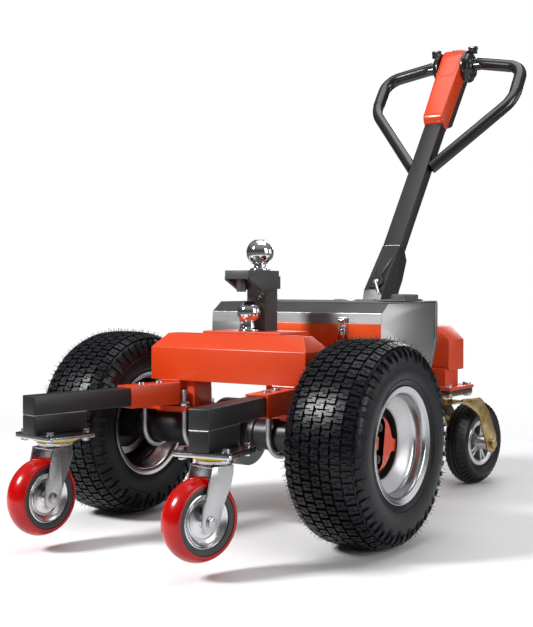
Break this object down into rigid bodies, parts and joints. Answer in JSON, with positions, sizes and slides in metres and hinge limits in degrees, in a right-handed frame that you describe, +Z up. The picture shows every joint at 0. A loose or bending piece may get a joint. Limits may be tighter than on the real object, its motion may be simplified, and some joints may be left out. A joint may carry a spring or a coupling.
{
  "type": "walk-behind electric tug",
  "caption": "Walk-behind electric tug for moving trailers, with driven turf tyres, swivel casters, two tow balls, a lidded battery box and a tilting loop handle.",
  "frame": {"origin": "middle of the bounding box at ground level, where the driven tyres and the rear casters stand", "axes": "+Z up, +Y from the tow balls to the operator handle, +X to the left of someone at the handle who faces the tow balls"},
  "size_m": [0.792, 1.5594, 1.1873],
  "materials": {
    "orange": "satin powder coat",
    "black_metal": "satin powder coat",
    "zinc": "bright zinc",
    "chrome": "mirror",
    "stainless": "brushed",
    "seal": "matt",
    "grey_plastic": "matt",
    "aluminium": "satin",
    "yellow_zinc": "yellow chromate",
    "black_plastic": "gloss",
    "red_tread": "gloss polyurethane",
    "tyre": "matt",
    "rim": "satin silver",
    "steel": "machined",
    "orange_plastic": "gloss",
    "blue_plastic": "gloss"
  },
  "bodies": {
    "frame": {"front_beam": "orange", "rear_beam": "orange", "saddles": "orange", "u_bolts": "zinc", "axle_tubes": "black_metal", "gearbox_case": "black_metal", "gearbox_cover": "black_metal", "motors": "black_metal", "hitch_post": "black_metal", "upper_ball": "chrome", "lower_ball": "chrome", "battery_tub": "stainless", "lid_seal": "seal", "batteries": "grey_plastic", "controller": "aluminium", "lid_hinge": "black_metal", "latch_bases": "zinc", "handle_bracket": "orange", "frame_bolts": "zinc", "rear_caster_plates": "yellow_zinc"},
    "lid": {"lid": "stainless"},
    "power_knob": {"power_knob": "black_plastic"},
    "latch_left": {"latch_left": "zinc"},
    "latch_right": {"latch_right": "zinc"},
    "handle": {"handle_arm": "black_metal", "loop_handle": "black_metal", "head_cover": "orange_plastic", "head_shell": "black_plastic"},
    "throttle": {"throttle": "black_plastic"},
    "belly_button": {"belly_button": "blue_plastic"},
    "lock_lever": {"lock_lever": "zinc"},
    "arm_left": {"front_arm_left": "black_metal", "front_plate_left": "zinc"},
    "front_swivel_left": {"front_fork_left": "zinc"},
    "front_wheel_left": {"front_tread_left": "red_tread", "front_core_left": "zinc"},
    "rear_swivel_left": {"rear_fork_left": "yellow_zinc"},
    "rear_wheel_left": {"rear_tyre_left": "tyre", "rear_rim_left": "rim"},
    "drive_wheel_left": {"tyre_left": "tyre", "rim_left": "rim", "hub_left": "black_metal", "hub_cover_left": "orange", "axle_shaft_left": "steel"},
    "pinion_left": {"pinion_left": "steel"},
    "arm_right": {"front_arm_right": "black_metal", "front_plate_right": "zinc"},
    "front_swivel_right": {"front_fork_right": "zinc"},
    "front_wheel_right": {"front_tread_right": "red_tread", "front_core_right": "zinc"},
    "rear_swivel_right": {"rear_fork_right": "yellow_zinc"},
    "rear_wheel_right": {"rear_tyre_right": "tyre", "rear_rim_right": "rim"},
    "drive_wheel_right": {"tyre_right": "tyre", "rim_right": "rim", "hub_right": "black_metal", "hub_cover_right": "orange", "axle_shaft_right": "steel"},
    "pinion_right": {"pinion_right": "steel"}
  },
  "joints": [
    {"name": "lid_hinge", "type": "hinge", "parent": "frame", "child": "lid", "pos_m": [0, 0.15773, 0.469], "axis": [-1, 0, 0], "range_deg": [0, 85]},
    {"name": "power_knob_turn", "type": "hinge", "parent": "lid", "child": "power_knob", "pos_m": [0.183, 0.07073, 0.48], "axis": [0, 0, 1], "range_deg": [0, 90]},
    {"name": "latch_left_swing", "type": "hinge", "parent": "frame", "child": "latch_left", "pos_m": [0.132, -0.12777, 0.38501], "axis": [1, 0, 0], "range_deg": [0, 80]},
    {"name": "arm_left_slide", "type": "slide", "parent": "frame", "child": "arm_left", "axis": [0.17, -0.9854, 0], "range_m": [-0.01, 0.06]},
    {"name": "front_swivel_left_turn", "type": "hinge", "parent": "arm_left", "child": "front_swivel_left", "pos_m": [0.19458, -0.66947, 0.2], "axis": [0, 0, 1], "continuous": true},
    {"name": "front_wheel_left_roll", "type": "hinge", "parent": "front_swivel_left", "child": "front_wheel_left", "pos_m": [0.18617, -0.70345, 0.102], "axis": [0.9707, -0.2402, 0], "continuous": true},
    {"name": "rear_swivel_left_turn", "type": "hinge", "parent": "frame", "child": "rear_swivel_left", "pos_m": [0.167, 0.29673, 0.23], "axis": [0, 0, 1], "continuous": true},
    {"name": "rear_wheel_left_roll", "type": "hinge", "parent": "rear_swivel_left", "child": "rear_wheel_left", "pos_m": [0.18949, 0.442, 0.1065], "axis": [0.9882, -0.153, 0], "continuous": true},
    {"name": "drive_wheel_left_roll", "type": "hinge", "parent": "frame", "child": "drive_wheel_left", "pos_m": [0.3135, -0.33127, 0.203], "axis": [1, 0, 0], "continuous": true},
    {"name": "pinion_left_spin", "type": "hinge", "parent": "frame", "child": "pinion_left", "pos_m": [0.013, -0.25127, 0.203], "axis": [1, 0, 0], "continuous": true},
    {"name": "latch_right_swing", "type": "hinge", "parent": "frame", "child": "latch_right", "pos_m": [-0.132, -0.12777, 0.38501], "axis": [1, 0, 0], "range_deg": [0, 80]},
    {"name": "arm_right_slide", "type": "slide", "parent": "frame", "child": "arm_right", "axis": [-0.17, -0.9854, 0], "range_m": [-0.01, 0.06]},
    {"name": "front_swivel_right_turn", "type": "hinge", "parent": "arm_right", "child": "front_swivel_right", "pos_m": [-0.19458, -0.66947, 0.2], "axis": [0, 0, 1], "continuous": true},
    {"name": "front_wheel_right_roll", "type": "hinge", "parent": "front_swivel_right", "child": "front_wheel_right", "pos_m": [-0.19672, -0.70441, 0.102], "axis": [0.9981, -0.061, 0], "continuous": true},
    {"name": "rear_swivel_right_turn", "type": "hinge", "parent": "frame", "child": "rear_swivel_right", "pos_m": [-0.167, 0.29673, 0.23], "axis": [0, 0, 1], "continuous": true},
    {"name": "rear_wheel_right_roll", "type": "hinge", "parent": "rear_swivel_right", "child": "rear_wheel_right", "pos_m": [-0.14451, 0.442, 0.1065], "axis": [0.9882, -0.153, 0], "continuous": true},
    {"name": "drive_wheel_right_roll", "type": "hinge", "parent": "frame", "child": "drive_wheel_right", "pos_m": [-0.3135, -0.33127, 0.203], "axis": [1, 0, 0], "continuous": true},
    {"name": "pinion_right_spin", "type": "hinge", "parent": "frame", "child": "pinion_right", "pos_m": [-0.013, -0.25127, 0.203], "axis": [1, 0, 0], "continuous": true},
    {"name": "handle_tilt", "type": "hinge", "parent": "frame", "child": "handle", "pos_m": [0, 0.28073, 0.452], "axis": [-1, 0, 0], "range_deg": [-25, 35]},
    {"name": "throttle_turn", "type": "hinge", "parent": "handle", "child": "throttle", "pos_m": [0, 0.73427, 1.13145], "axis": [1, 0, 0], "range_deg": [-25, 25], "stiffness_Nm_per_rad": 0.6},
    {"name": "belly_button_press", "type": "slide", "parent": "handle", "child": "belly_button", "axis": [0, -0.5664, -0.8241], "range_m": [0, 0.004], "stiffness_N_per_m": 600},
    {"name": "lock_lever_turn", "type": "hinge", "parent": "handle", "child": "lock_lever", "pos_m": [0, 0.26839, 0.51629], "axis": [0, -0.7581, 0.6521], "range_deg": [0, 60]}
  ],
  "couplings": [
    {"joint": "pinion_left_spin", "follows": "drive_wheel_left_roll", "ratio": -3},
    {"joint": "pinion_right_spin", "follows": "drive_wheel_right_roll", "ratio": -3}
  ]
}
